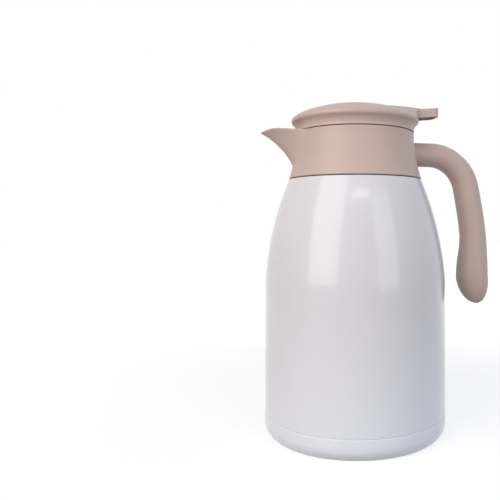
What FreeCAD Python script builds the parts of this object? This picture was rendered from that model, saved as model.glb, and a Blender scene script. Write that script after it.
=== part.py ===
import FreeCAD, Part
import math
import os
from types import SimpleNamespace

import Sketcher
from FreeCAD import Placement, Rotation, Vector

# Vacuum jug with a screw-in pouring lid. The origin is on the flask's axis, on the surface that
# the jug stands on. +Z is up, the spout points along -X, and the handle and thumb tab along +X.

doc = FreeCAD.newDocument("vacuum_jug")
sheet = doc.addObject("Spreadsheet::Sheet", "Sizes")

# Driving dimensions in millimetres, one cell each. Heights on the flask and the base are above the
# standing surface, and those listed in ABOVE_SEAM are above the seam between shell and collar.
DRIVING = {
    # Double-walled steel flask
    "body_radius": 66.5,
    "base_seam": 15.2,
    "shoulder_start": 111.0,
    "shoulder_bend": 235.0,
    "shoulder_proud": 0.2,
    "collar_seam": 185.2,
    "seam_gap": 0.6,
    "steel_wall": 0.6,
    "jacket_gap": 5.5,
    "neck_gap": 0.5,
    "neck_rise": 6.0,
    "lip_top": 19.4,
    "flask_floor": 20.5,
    "flask_corner": 10.0,
    # Closing plate, its seal and what lies in the vacuum
    "plate_height": 16.8,
    "weld_gap": 0.05,
    "vent_radius": 1.5,
    "bead_radius": 4.5,
    "bead_height": 1.2,
    "getter_radius": 6.0,
    "getter_height": 2.0,
    "getter_place": 30.0,
    "foil_thickness": 0.15,
    "foil_bottom": 40.0,
    "foil_top": 105.0,
    # Base cup
    "base_proud": 0.2,
    "base_gap": 0.4,
    "base_round": 9.0,
    "base_bend": 10.7,
    "foot_inset": 4.9,
    "foot_width": 4.3,
    "foot_recess": 2.5,
    "base_plate": 1.7,
    "base_haunch": 6.0,
    "spigot_wall": 1.6,
    "fit_gap": 0.1,
    # Collar and spout
    "collar_top_radius": 43.8,
    "collar_flare": 5.4,
    "collar_top": 33.9,
    "collar_taper_top": 28.8,
    "collar_bend": 115.0,
    "collar_wall": 2.0,
    "bore_bottom": 22.3,
    "spout_reach": 70.6,
    "spout_tip": 33.0,
    "spout_tip_bend": 13.0,
    "spout_peak_reach": 62.0,
    "spout_peak": 35.3,
    "spout_lip_bend": 105.0,
    "spout_half_width": 23.0,
    "spout_root": 36.0,
    "spout_foot": 8.8,
    "spout_foot_reach": 46.6,
    "spout_wall": 2.4,
    "spout_tip_round": 2.2,
    "keel_round": 16.0,
    "keel_bend": 53.0,
    # Neck ring that carries the lid's thread
    "ring_fit": 0.2,
    "skirt_wall": 1.2,
    "skirt_bottom": 6.8,
    "neck_fit": 0.3,
    "sleeve_wall": 2.0,
    "sleeve_bottom": 11.8,
    "sleeve_fit": 0.4,
    "gasket_thickness": 0.8,
    "gasket_gap": 0.3,
    "web_thickness": 2.6,
    "ring_drop": 3.5,
    "window_half_width": 15.0,
    "lug_lead": 18.0,
    "lug_thickness": 2.0,
    "lug_half_angle": 18.0,
    "lug_gap": 0.5,
    "lug_height": 28.2,
    "lug_depth": 2.1,
    "run_gap": 0.4,
    # Handle
    "handle_height": 20.0,
    "handle_bend_start": 59.5,
    "handle_bend": 30.5,
    "handle_lean": 12.0,
    "handle_sweep": 255.0,
    "handle_thickness": 18.2,
    "handle_width": 20.0,
    "grip_thickness": 19.6,
    "grip_width": 21.0,
    "swell_drop": 46.2,
    "bulb_radius": 12.4,
    "bulb_drop": 73.7,
    "bulb_length": 21.5,
    "bulb_lean": 8.0,
    "screw_radius": 1.6,
    "screw_head_radius": 2.6,
    "screw_head_height": 1.5,
    "screw_spacing": 7.4,
    "screw_height": 15.0,
    "screw_length": 15.0,
    "pilot_spare": 0.3,
    "notch_margin": 3.9,
    # Stopper
    "stopper_wall": 2.2,
    "stopper_floor": 11.8,
    "stopper_floor_thickness": 2.0,
    "guide_seat": 1.65,
    "stopper_gap": 2.6,
    "seal_bottom": 15.0,
    "seal_height": 3.6,
    "seal_groove": 0.8,
    "seal_gap": 0.3,
    "flange_gap": 2.4,
    "flange_thickness": 2.4,
    "valve_port": 10.0,
    "pour_half_width": 12.0,
    # Lid cover
    "cover_wall": 2.0,
    "lid_gap": 0.6,
    "cove_start": 36.1,
    "cove_bend": 7.5,
    "rim_radius": 46.5,
    "rim_low": 40.9,
    "rim_high": 44.6,
    "rim_bend": 2.4,
    "dome_edge_radius": 40.0,
    "dome_edge": 48.4,
    "dome_edge_bend": 23.2,
    "dome_top": 55.6,
    "fairing_start": 3.0,
    "fairing_half_width": 9.0,
    "fairing_spread": 14.0,
    "fairing_end": 53.8,
    "fairing_root": 1.2,
    "fairing_inset": 0.4,
    "slot_sill": 1.1,
    "cheek_thickness": 3.5,
    "boss_radius": 2.8,
    "cover_screw_radius": 1.25,
    "cover_screw_head": 2.0,
    "cover_screw_head_height": 1.4,
    "cover_screw_length": 9.0,
    # Thumb lever
    "pivot_place": 28.5,
    "pivot_height": 45.8,
    "pin_radius": 1.5,
    "pin_gap": 0.05,
    "hub_radius": 3.2,
    "tab_half_width": 8.0,
    "tab_front": 25.0,
    "tab_dip_place": 50.0,
    "tab_dip": 54.0,
    "tab_end": 65.0,
    "tab_end_height": 55.6,
    "tab_skirt": 6.6,
    "tab_wall": 1.8,
    "tab_corner": 5.0,
    "arm_thickness": 2.4,
    "arm_height": 3.4,
    "arm_overhang": 3.4,
    # Valve
    "stem_radius": 3.0,
    "stem_top": 48.0,
    "disc_radius": 14.5,
    "disc_thickness": 2.0,
    "valve_seal_width": 3.0,
    "valve_seal_height": 2.0,
    "valve_gap": 0.2,
    "link_radius": 1.2,
    "link_gap": 0.35,
    "link_run": 0.6,
    "guide_ledge": 31.3,
    "guide_thickness": 3.0,
    "guide_ring_width": 3.2,
    "guide_hub_radius": 7.0,
    "guide_hub_bottom": 29.8,
    "guide_arm_width": 4.0,
    "spring_radius": 5.0,
    "spring_wire": 0.9,
    "spring_turns": 4.0,
}

# Heights that are measured up from the collar's seam, so that the neck and the lid follow it
ABOVE_SEAM = (
    "lip_top", "collar_top", "collar_taper_top", "bore_bottom", "spout_tip", "spout_peak", "spout_foot",
    "skirt_bottom", "sleeve_bottom", "lug_height", "handle_height", "screw_height", "stopper_floor",
    "seal_bottom", "cove_start", "rim_low", "rim_high", "dome_edge", "dome_top", "fairing_end",
    "pivot_height", "tab_dip", "tab_end_height", "stem_top", "guide_ledge", "guide_hub_bottom",
)


class Size:
    """A length together with the sheet formula that it comes from."""

    def __init__(self, value, formula):
        self.value = value
        self.formula = formula

    def __add__(self, other):
        other = as_size(other)
        return Size(self.value + other.value, f"({self.formula} + {other.formula})")

    def __sub__(self, other):
        other = as_size(other)
        return Size(self.value - other.value, f"({self.formula} - {other.formula})")

    def __mul__(self, other):
        other = as_size(other)
        return Size(self.value * other.value, f"({self.formula} * {other.formula})")

    def __truediv__(self, other):
        other = as_size(other)
        return Size(self.value / other.value, f"({self.formula} / {other.formula})")

    def __neg__(self):
        return Size(-self.value, f"(-1 * {self.formula})")

    __radd__ = __add__
    __rmul__ = __mul__

    def __rsub__(self, other):
        return as_size(other) - self


def as_size(number):
    """Give a plain number the form of a size."""
    if isinstance(number, Size):
        return number
    return Size(float(number), str(float(number)))


for row, (name, number) in enumerate(DRIVING.items(), start=1):
    sheet.set(f"A{row}", name)
    sheet.set(f"B{row}", str(number))
    sheet.setAlias(f"B{row}", name)
doc.recompute()
jug = SimpleNamespace(**{name: Size(sheet.get(name), f"Sizes.{name}") for name in DRIVING})
for name in ABOVE_SEAM:
    setattr(jug, name, jug.collar_seam + getattr(jug, name))
jug.collar_bottom_radius = jug.collar_top_radius + jug.collar_flare

ZERO = as_size(0)
UP = Vector(0, 0, 1)
ALONG_X = Rotation(Vector(0, 1, 0), 90)
ALONG_Y = Rotation(Vector(1, 0, 0), -90)
CLEAR = as_size(1)
SAME_PLACE = 1e-6
SPOUT_LEVELS = 6
BEND_SHARES = (0.0, 0.25, 0.5, 0.75, 1.0)
SWEEP_SHARES = (0.25, 0.5, 0.75, 1.0)
DROP_SHARES = (0.5, 1.0)
FAIRING_SHARES = (0.0, 0.3, 0.65, 1.0)
FAIRING_FULL = 0.5
LUG_COUNT = 3
LUG_BAND = 8
GUIDE_ARMS = 3
FIRST_ARM = 60
SPOTS_PER_TURN = 32


def bind(thing, name, size):
    """Tie one property of an object to the sheet."""
    thing.setExpression(name, as_size(size).formula)


def pin_corner(sketch, side, end, across, up):
    """Hold one end of a side at its distances from the sketch's origin."""
    for kind, size, axis in (("DistanceX", across, -2), ("DistanceY", up, -1)):
        if abs(size.value) < SAME_PLACE:
            sketch.addConstraint(Sketcher.Constraint("PointOnObject", side, end, axis))
        else:
            number = sketch.addConstraint(Sketcher.Constraint(kind, -1, 1, side, end, size.value))
            bind(sketch, f"Constraints[{number}]", size)


def arc_middle(start, finish, bend):
    """The middle of an arc of radius |bend|, to the left of the way when bend is positive."""
    chord = finish - start
    left = Vector(-chord.y, chord.x, 0).normalize()
    radius = abs(bend)
    rise = radius - math.sqrt(radius ** 2 - (chord.Length / 2) ** 2)
    return (start + finish) / 2 + left * math.copysign(rise, bend)


def draw(body, role, corners):
    """Draw a closed outline in one of a body's origin planes, with its corners tied to the sheet.

    A corner is (across, up) or (across, up, bend). With a bend, the side that starts there is an arc
    of that radius, to the left of the way when it is positive and to the right when it is negative.
    """
    sketch = body.newObject("Sketcher::SketchObject", "Outline")
    plane = [feature for feature in body.Origin.OriginFeatures if feature.Role == role][0]
    sketch.AttachmentSupport = [(plane, "")]
    sketch.MapMode = "FlatFace"
    corners = [tuple(as_size(size) for size in corner) for corner in corners]
    points = [Vector(corner[0].value, corner[1].value, 0) for corner in corners]
    ends = []
    for number, corner in enumerate(corners):
        start = points[number]
        finish = points[(number + 1) % len(points)]
        if len(corner) == 3:
            middle = arc_middle(start, finish, corner[2].value)
            side = sketch.addGeometry(Part.Arc(start, middle, finish), False)
        else:
            side = sketch.addGeometry(Part.LineSegment(start, finish), False)
        first = 1 if (sketch.getPoint(side, 1) - start).Length < SAME_PLACE else 2
        ends.append((side, first, 3 - first))
    for number, corner in enumerate(corners):
        side, first, last = ends[number]
        following = ends[(number + 1) % len(ends)]
        pin_corner(sketch, side, first, corner[0], corner[1])
        sketch.addConstraint(Sketcher.Constraint("Coincident", side, last, following[0], following[1]))
        if len(corner) == 3:
            bend = corner[2]
            size = bend if bend.value > 0 else -bend
            radius = sketch.addConstraint(Sketcher.Constraint("Radius", side, size.value))
            bind(sketch, f"Constraints[{radius}]", size)
    return sketch


def new_body(label):
    """An empty body with its label."""
    body = doc.addObject("PartDesign::Body", label)
    body.Label = label
    return body


def turned(label, corners):
    """A body turned about the jug's axis from half of its section."""
    body = new_body(label)
    sketch = draw(body, "XZ_Plane", corners)
    turn = body.newObject("PartDesign::Revolution", "Turn")
    turn.Profile = sketch
    turn.ReferenceAxis = (sketch, ["V_Axis"])
    turn.Angle = 360
    body.Tip = turn
    return body


def slab(label, role, corners, width):
    """A body made by padding an outline to both sides of its plane."""
    body = new_body(label)
    sketch = draw(body, role, corners)
    pad = body.newObject("PartDesign::Pad", "Pad")
    pad.Profile = sketch
    pad.SideType = "Symmetric"
    bind(pad, "Length", width)
    body.Tip = pad
    return body


def place(thing, x, y, z, rotation=Rotation()):
    """Set where a primitive starts, each distance tied to the sheet."""
    thing.Placement = Placement(Vector(0, 0, 0), rotation)
    bind(thing, "Placement.Base.x", x)
    bind(thing, "Placement.Base.y", y)
    bind(thing, "Placement.Base.z", z)


def block(label, x, y, z):
    """A box between two distances along each axis."""
    box = doc.addObject("Part::Box", label)
    box.Label = label
    low = [as_size(pair[0]) for pair in (x, y, z)]
    high = [as_size(pair[1]) for pair in (x, y, z)]
    bind(box, "Length", high[0] - low[0])
    bind(box, "Width", high[1] - low[1])
    bind(box, "Height", high[2] - low[2])
    place(box, *low)
    return box


def rod(label, radius, start, length, rotation=Rotation()):
    """A round rod from its start, along +Z unless it is turned."""
    cylinder = doc.addObject("Part::Cylinder", label)
    cylinder.Label = label
    bind(cylinder, "Radius", radius)
    bind(cylinder, "Height", length)
    place(cylinder, *start, rotation)
    return cylinder


def joined(label, things):
    """One solid from several that overlap."""
    fuse = doc.addObject("Part::MultiFuse", label)
    fuse.Label = label
    fuse.Shapes = things
    fuse.Refine = True
    return fuse


def shared(label, things):
    """What several solids have in common."""
    common = doc.addObject("Part::MultiCommon", label)
    common.Label = label
    common.Shapes = things
    return common


def less(label, base, tools):
    """A solid with others cut out of it."""
    tool = tools[0] if len(tools) == 1 else joined(f"{label}_cutters", tools)
    cut = doc.addObject("Part::Cut", label)
    cut.Label = label
    cut.Base = base
    cut.Tool = tool
    return cut


def group(label, things):
    """Separate like solids that share one node."""
    compound = doc.addObject("Part::Compound", label)
    compound.Label = label
    compound.Links = things
    return compound


def formed(label, shape):
    """A free-form solid, made from sizes that are read from the sheet."""
    feature = doc.addObject("Part::Feature", label)
    feature.Label = label
    feature.Shape = shape
    feature.Placement = Placement()
    return feature


def cap_bend(radius, rise):
    """The radius of an arc that rises from an edge to the axis, with its centre on the axis."""
    return (radius * radius + rise * rise) / (2 * rise)


# Radii at the neck, from the collar's bore inwards, each one fit or wall from the last
bore_radius = jug.collar_top_radius - jug.collar_wall
ring_radius = bore_radius - jug.ring_fit
skirt_inner = ring_radius - jug.skirt_wall
neck_radius = skirt_inner - jug.neck_fit
inner_neck_radius = neck_radius - jug.steel_wall - jug.neck_gap
mouth_radius = inner_neck_radius - jug.steel_wall
sleeve_radius = mouth_radius - jug.sleeve_fit
seat_radius = sleeve_radius - jug.sleeve_wall
thread_radius = mouth_radius
lug_tip_radius = thread_radius - jug.lug_depth
stopper_upper_radius = lug_tip_radius - jug.run_gap - jug.lug_gap
stopper_radius = seat_radius - jug.stopper_gap
chamber_radius = stopper_radius - jug.stopper_wall
screw_seat = neck_radius + jug.run_gap * 2 + jug.screw_head_height
shoulder_radius = jug.collar_bottom_radius + jug.shoulder_proud

# Heights at the neck
ledge_height = jug.collar_seam - jug.seam_gap
lip_under = jug.lip_top - jug.steel_wall
web_bottom = jug.lip_top + jug.gasket_thickness
web_top = web_bottom + jug.web_thickness
ring_top = jug.collar_top - jug.ring_drop
flange_bottom = ring_top + jug.flange_gap
flange_top = flange_bottom + jug.flange_thickness
cover_bottom = jug.collar_top + jug.lid_gap
floor_top = jug.stopper_floor + jug.stopper_floor_thickness
swell_start = jug.collar_seam - jug.swell_drop
bulb_height = jug.collar_seam - jug.bulb_drop


def make_outer_shell():
    """Painted steel shell: straight wall, one long shoulder arc, a ledge for the collar, the neck."""
    wall = jug.steel_wall
    ledge_inner = jug.collar_bottom_radius - jug.collar_wall - jug.neck_gap
    neck_foot = ledge_height + jug.neck_rise
    return turned("outer_shell", [
        (jug.body_radius, jug.base_seam),
        (jug.body_radius, jug.shoulder_start, -jug.shoulder_bend),
        (shoulder_radius, ledge_height),
        (ledge_inner, ledge_height),
        (neck_radius, neck_foot),
        (neck_radius, lip_under),
        (neck_radius - wall, lip_under),
        (neck_radius - wall, neck_foot - wall / 2),
        (ledge_inner - wall / 2, ledge_height - wall),
        (shoulder_radius - wall, ledge_height - wall, jug.shoulder_bend - wall),
        (jug.body_radius - wall, jug.shoulder_start),
        (jug.body_radius - wall, jug.base_seam),
    ])


flask_radius = jug.body_radius - jug.steel_wall - jug.jacket_gap


def make_inner_flask():
    """Bare steel flask inside the jacket, whose lip is welded over the shell's neck."""
    wall = jug.steel_wall
    inset = jug.steel_wall + jug.jacket_gap
    top_radius = shoulder_radius - inset
    top_height = ledge_height - inset / 2
    neck_foot = top_height + jug.neck_rise
    return turned("inner_flask", [
        (ZERO, jug.flask_floor),
        (flask_radius - jug.flask_corner, jug.flask_floor, -jug.flask_corner),
        (flask_radius, jug.flask_floor + jug.flask_corner),
        (flask_radius, jug.shoulder_start, inset - jug.shoulder_bend),
        (top_radius, top_height),
        (inner_neck_radius, neck_foot),
        (inner_neck_radius, lip_under),
        (neck_radius, lip_under),
        (neck_radius, jug.lip_top),
        (mouth_radius, jug.lip_top),
        (mouth_radius, neck_foot - wall / 2),
        (top_radius - wall, top_height - wall / 2, jug.shoulder_bend - inset - wall),
        (flask_radius - wall, jug.shoulder_start),
        (flask_radius - wall, jug.flask_floor + jug.flask_corner, jug.flask_corner - wall),
        (flask_radius - jug.flask_corner, jug.flask_floor + wall),
        (ZERO, jug.flask_floor + wall),
    ])


plate_radius = jug.body_radius - jug.steel_wall - jug.weld_gap
plate_top = jug.plate_height + jug.steel_wall


def make_closing_plate():
    """Steel plate that closes the jacket from below, with the hole that the air was drawn from."""
    wall = jug.steel_wall
    return turned("closing_plate", [
        (jug.vent_radius, jug.plate_height),
        (plate_radius - wall, jug.plate_height),
        (plate_radius - wall, jug.base_seam + jug.fit_gap),
        (plate_radius, jug.base_seam + jug.fit_gap),
        (plate_radius, plate_top),
        (jug.vent_radius, plate_top),
    ])


def make_seal_bead():
    """Bead of solder that stops the hole in the closing plate."""
    bend = cap_bend(jug.bead_radius, jug.bead_height)
    return turned("seal_bead", [
        (ZERO, jug.plate_height - jug.bead_height, -bend),
        (jug.bead_radius, jug.plate_height),
        (ZERO, jug.plate_height),
    ])


def make_getter():
    """Tablet on the closing plate that takes up the last gas in the jacket."""
    return rod("getter", jug.getter_radius, (jug.getter_place, ZERO, plate_top), jug.getter_height)


def make_radiation_foil():
    """Bright foil wrapped round the straight part of the flask, inside the vacuum."""
    inner = flask_radius + jug.weld_gap
    outer = inner + jug.foil_thickness
    return turned("radiation_foil", [
        (inner, jug.foil_bottom),
        (outer, jug.foil_bottom),
        (outer, jug.foil_top),
        (inner, jug.foil_top),
    ])


def make_base_cup():
    """Painted cup under the shell, with a foot ring and a spigot that plugs into the closing plate."""
    top = jug.base_seam - jug.base_gap
    spigot = plate_radius - jug.steel_wall - jug.fit_gap
    spigot_inner = spigot - jug.spigot_wall
    spigot_top = jug.plate_height - jug.fit_gap
    floor = jug.foot_recess + jug.base_plate
    base_radius = jug.body_radius + jug.base_proud
    foot_radius = base_radius - jug.foot_inset
    foot_inner = foot_radius - jug.foot_width
    return turned("base_cup", [
        (base_radius, top),
        (base_radius, jug.base_round, jug.base_bend),
        (foot_radius, ZERO),
        (foot_inner, ZERO),
        (foot_inner - jug.foot_recess, jug.foot_recess),
        (ZERO, jug.foot_recess),
        (ZERO, floor),
        (spigot_inner - jug.base_haunch, floor),
        (spigot_inner, floor + jug.base_haunch),
        (spigot_inner, spigot_top),
        (spigot, spigot_top),
        (spigot, top),
    ])


def spout_section(height, reach, nose, half_width, root):
    """One level of the spout: a round nose, two flanks tangent to it and a straight back."""
    centre = Vector(nose - reach, 0, height)
    corner = Vector(-root, half_width, height)
    away = corner - centre
    spread = math.acos(nose / away.Length)
    turn = math.atan2(away.y, away.x) + spread
    touch = centre + Vector(math.cos(turn), math.sin(turn), 0) * nose
    mirrored_touch = Vector(touch.x, -touch.y, height)
    mirrored_corner = Vector(corner.x, -corner.y, height)
    tip = Vector(-reach, 0, height)
    return Part.Wire([
        Part.LineSegment(corner, touch).toShape(),
        Part.Arc(touch, tip, mirrored_touch).toShape(),
        Part.LineSegment(mirrored_touch, mirrored_corner).toShape(),
        Part.LineSegment(mirrored_corner, corner).toShape(),
    ])


def keel_reach(height):
    """How far out the spout's keel is at one height: a hollow arc to its tip, carried on straight."""
    foot = Vector(jug.spout_foot_reach.value, jug.spout_foot.value, 0)
    tip = Vector(jug.spout_reach.value, jug.spout_tip.value, 0)
    chord = tip - foot
    bend = jug.keel_bend.value
    outward = Vector(chord.y, -chord.x, 0).normalize()
    centre = (foot + tip) / 2 + outward * math.sqrt(bend ** 2 - (chord.Length / 2) ** 2)
    on_arc = min(height, tip.y)
    depth = math.sqrt(bend ** 2 - (on_arc - centre.y) ** 2)
    return centre.x - depth + (height - on_arc) * (on_arc - centre.y) / depth


def spout_form(inset, foot, top):
    """The spout between two heights, drawn in by the inset on every side.

    The keel flares out along its arc, and the nose sharpens on the way up to the lip.
    """
    root = jug.spout_root.value
    sharp = jug.spout_tip_round.value
    levels = []
    for step in range(SPOUT_LEVELS + 1):
        height = foot + (top - foot) * step / SPOUT_LEVELS
        climb = min(1.0, (height - jug.spout_foot.value) / (jug.spout_tip.value - jug.spout_foot.value))
        nose = sharp + (jug.keel_round.value - sharp) * (1 - climb) ** 2
        nose = max(nose - inset, sharp / 2)
        half_width = jug.spout_half_width.value - inset
        levels.append((height, keel_reach(height) - inset, nose, half_width, root))
    return Part.makeLoft([spout_section(*level) for level in levels], True, False)


def above_lip():
    """What lies above the spout's lip, which rises from the collar, crests and rounds down to the tip."""
    collar_edge = Vector(-jug.collar_top_radius.value, 0, jug.collar_top.value)
    peak = Vector(-jug.spout_peak_reach.value, 0, jug.spout_peak.value)
    tip = Vector(-jug.spout_reach.value, 0, jug.spout_tip.value)
    sides = []
    for start, finish, bend in ((collar_edge, peak, jug.spout_lip_bend), (peak, tip, jug.spout_tip_bend)):
        flat = arc_middle(Vector(start.x, start.z, 0), Vector(finish.x, finish.z, 0), -bend.value)
        sides.append(Part.Arc(start, Vector(flat.x, 0, flat.y), finish).toShape())
    ceiling = jug.dome_top.value
    past = -jug.spout_reach.value * 2
    bounds = [tip, Vector(past, 0, tip.z), Vector(past, 0, ceiling), Vector(0, 0, ceiling),
              Vector(0, 0, collar_edge.z), collar_edge]
    sides += [Part.LineSegment(start, finish).toShape() for start, finish in zip(bounds, bounds[1:])]
    face = Part.Face(Part.Wire(Part.__sortEdges__(sides)))
    half_width = jug.collar_bottom_radius.value
    face.translate(Vector(0, -half_width, 0))
    return face.extrude(Vector(0, half_width * 2, 0))


def make_collar():
    """Beige collar that seats on the shell's ledge, with the open spout at its front."""
    skin = turned("collar_skin", [
        (jug.collar_bottom_radius, jug.collar_seam, jug.collar_bend),
        (jug.collar_top_radius, jug.collar_taper_top),
        (jug.collar_top_radius, jug.collar_top),
        (bore_radius - CLEAR, jug.collar_top),
        (bore_radius - CLEAR, jug.bore_bottom),
        (jug.collar_bottom_radius - jug.collar_wall - CLEAR, jug.collar_seam),
    ])
    bore = turned("collar_bore", [
        (ZERO, jug.collar_seam - CLEAR),
        (jug.collar_bottom_radius - jug.collar_wall, jug.collar_seam - CLEAR),
        (jug.collar_bottom_radius - jug.collar_wall, jug.collar_seam),
        (bore_radius, jug.bore_bottom),
        (bore_radius, jug.collar_top + CLEAR),
        (ZERO, jug.collar_top + CLEAR),
    ])
    horn_top = jug.spout_peak.value + CLEAR.value
    horn_blank = spout_form(0.0, jug.spout_foot.value, horn_top)
    lid_room = Part.makeCylinder((jug.collar_top_radius + jug.run_gap).value, CLEAR.value * 4,
                                 Vector(0, 0, jug.collar_top.value))
    horn = formed("spout_horn", horn_blank.cut(above_lip()).cut(lid_room))
    channel = formed("spout_channel", spout_form(jug.spout_wall.value, web_top.value, horn_top))
    holes = [rod(f"collar_screw_hole_{side}", jug.screw_radius + jug.fit_gap,
                 (neck_radius, jug.screw_spacing / 2 * side, jug.screw_height),
                 jug.collar_bottom_radius - neck_radius, ALONG_X) for side in (-1, 1)]
    body = joined("collar_body", [skin, horn])
    return less("collar", body, [bore, channel] + holes)


def lugs(label, inner, outer, height):
    """Three short thread starts, each a tilted bar trimmed to a ring."""
    middle = (inner.value + outer.value) / 2
    tilt = math.degrees(math.atan(jug.lug_lead.value / (2 * math.pi * middle)))
    reach = outer.value * math.sin(math.radians(jug.lug_half_angle.value))
    thickness = jug.lug_thickness.value
    band = thickness * LUG_BAND
    foot = Vector(0, 0, height.value - band / 2)
    ring = Part.makeCylinder(outer.value, band, foot).cut(Part.makeCylinder(inner.value, band, foot))
    pieces = []
    for number in range(LUG_COUNT):
        bar = Part.makeBox(outer.value, reach * 2, thickness, Vector(0, -reach, -thickness / 2))
        bar.rotate(Vector(0, 0, 0), Vector(1, 0, 0), tilt)
        bar.translate(Vector(inner.value / 2, 0, height.value))
        bar.rotate(Vector(0, 0, 0), UP, 360 / LUG_COUNT * number)
        pieces.append(ring.common(bar))
    return formed(label, pieces[0].multiFuse(pieces[1:]))


def make_neck_ring():
    """Ring round and inside the neck: outer skirt, web over the lip, seat for the stopper and lugs."""
    core = turned("ring_core", [
        (seat_radius, jug.sleeve_bottom),
        (sleeve_radius, jug.sleeve_bottom),
        (sleeve_radius, web_bottom),
        (skirt_inner, web_bottom),
        (skirt_inner, jug.skirt_bottom),
        (ring_radius, jug.skirt_bottom),
        (ring_radius, ring_top),
        (thread_radius, ring_top),
        (thread_radius, web_top),
        (seat_radius, web_top),
    ])
    ring_lugs = lugs("ring_lugs", lug_tip_radius, thread_radius + jug.skirt_wall, jug.lug_height)
    window = block("ring_window", (-bore_radius, -seat_radius + jug.ring_drop),
                   (-jug.window_half_width, jug.window_half_width), (web_top, ring_top + CLEAR))
    notch_half = jug.screw_spacing / 2 + jug.notch_margin
    notch = block("ring_notch", (neck_radius - CLEAR, bore_radius + CLEAR), (-notch_half, notch_half),
                  (jug.skirt_bottom - CLEAR, web_bottom))
    return less("neck_ring", joined("ring_body", [core, ring_lugs]), [window, notch])


def make_neck_gasket():
    """Flat silicone ring between the flask's lip and the neck ring's web."""
    inner = sleeve_radius + jug.gasket_gap
    outer = skirt_inner - jug.gasket_gap
    return turned("neck_gasket", [
        (inner, jug.lip_top),
        (outer, jug.lip_top),
        (outer, web_bottom),
        (inner, web_bottom),
    ])


def oval(place_at, direction, thickness, width):
    """An oval across the handle's line: thickness in the plane of the jug, width across it."""
    across = Vector(0, 1, 0)
    inward = direction.cross(across)
    major = place_at + across * (width / 2)
    minor = place_at + inward * (thickness / 2)
    if abs(width - thickness) < SAME_PLACE:
        return Part.Wire([Part.Circle(major, minor, place_at * 2 - major).toShape()])
    return Part.Wire([Part.Ellipse(major, minor, place_at).toShape()])


def handle_stations():
    """Places along the handle's line, each with its way, thickness and width.

    The line leaves the collar level, turns down in a round bend that stops short of upright by the
    lean, comes upright in one long sweep, and leans out again into the swollen end.
    """
    height = jug.handle_height.value
    bend = jug.handle_bend.value
    lean = math.radians(jug.handle_lean.value)
    sweep = jug.handle_sweep.value
    root = (jug.handle_thickness.value, jug.handle_width.value)
    grip = (jug.grip_thickness.value, jug.grip_width.value)
    bulb = (jug.bulb_radius.value * 2, jug.bulb_radius.value * 2)
    turn = math.pi / 2 - lean
    start = Vector(jug.handle_bend_start.value, 0, height)
    stations = [(Vector(bore_radius.value, 0, height), Vector(1, 0, 0), *root)]
    for share in BEND_SHARES:
        angle = turn * share
        point = start + Vector(bend * math.sin(angle), 0, -bend * (1 - math.cos(angle)))
        stations.append((point, Vector(math.cos(angle), 0, -math.sin(angle)), *mixed(root, grip, share)))
    knee = stations[-1][0]
    for share in SWEEP_SHARES:
        angle = lean * (1 - share)
        point = knee + Vector(sweep * (math.cos(angle) - math.cos(lean)), 0,
                              -sweep * (math.sin(lean) - math.sin(angle)))
        stations.append((point, Vector(math.sin(angle), 0, -math.cos(angle)), *swollen(grip, bulb, point.z)))
    foot = stations[-1][0]
    out = math.radians(jug.bulb_lean.value)
    for share in DROP_SHARES:
        point = Vector(foot.x, 0, foot.z + (bulb_height.value - foot.z) * share)
        way = Vector(math.sin(out * share), 0, -math.cos(out * share))
        stations.append((point, way, *swollen(grip, bulb, point.z)))
    return stations


def swollen(grip, bulb, height):
    """The handle's thickness and width at one height, which grow smoothly from the grip to the bulb."""
    share = (swell_start.value - height) / (swell_start.value - bulb_height.value)
    return mixed(grip, bulb, (1 - math.cos(math.pi * min(1.0, max(0.0, share)))) / 2)


def mixed(first, second, share):
    """Two sizes part of the way from one pair to another."""
    return [one + (other - one) * share for one, other in zip(first, second)]


def make_handle():
    """Open-ended handle: straight root, round bend, leaning grip and a swollen rounded end."""
    stations = handle_stations()
    sections = [oval(*station) for station in stations]
    bulb, way = stations[-1][:2]
    radius = jug.bulb_radius.value
    grip = Part.makeLoft(sections, True, False)
    tip = bulb + way * jug.bulb_length.value
    side = bulb + way.cross(Vector(0, 1, 0)) * radius
    quarter = Part.ArcOfEllipse(Part.Ellipse(tip, side, bulb), 0, math.pi / 2).toShape()
    half_section = Part.Face(Part.Wire([quarter, Part.LineSegment(side, bulb).toShape(),
                                        Part.LineSegment(bulb, tip).toShape()]))
    end = half_section.revolve(bulb, way, 360)
    blank = formed("handle_blank", grip.fuse(end).removeSplitter())
    clearance = jug.fit_gap
    seat = turned("handle_seat", [
        (ZERO, jug.skirt_bottom - CLEAR * 4),
        (jug.collar_bottom_radius + clearance, jug.collar_seam, jug.collar_bend),
        (jug.collar_top_radius + clearance, jug.collar_taper_top),
        (jug.collar_top_radius + clearance, jug.collar_top),
        (ZERO, jug.collar_top),
    ])
    pilots = [rod(f"handle_pilot_{side}", jug.screw_radius + jug.pin_gap,
                  (neck_radius, jug.screw_spacing / 2 * side, jug.screw_height),
                  screw_seat - neck_radius + jug.screw_length + jug.pilot_spare, ALONG_X)
              for side in (-1, 1)]
    return less("handle", blank, [seat] + pilots)


def make_handle_screws():
    """Two screws from inside the collar into the handle's root."""
    screws = []
    for side in (-1, 1):
        across = jug.screw_spacing / 2 * side
        head = rod(f"handle_screw_head_{side}", jug.screw_head_radius,
                   (screw_seat - jug.screw_head_height, across, jug.screw_height),
                   jug.screw_head_height, ALONG_X)
        shank = rod(f"handle_screw_shank_{side}", jug.screw_radius,
                    (screw_seat - CLEAR, across, jug.screw_height), jug.screw_length + CLEAR, ALONG_X)
        screws.append(joined(f"handle_screw_{side}", [head, shank]))
    return group("handle_screws", screws)


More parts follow.
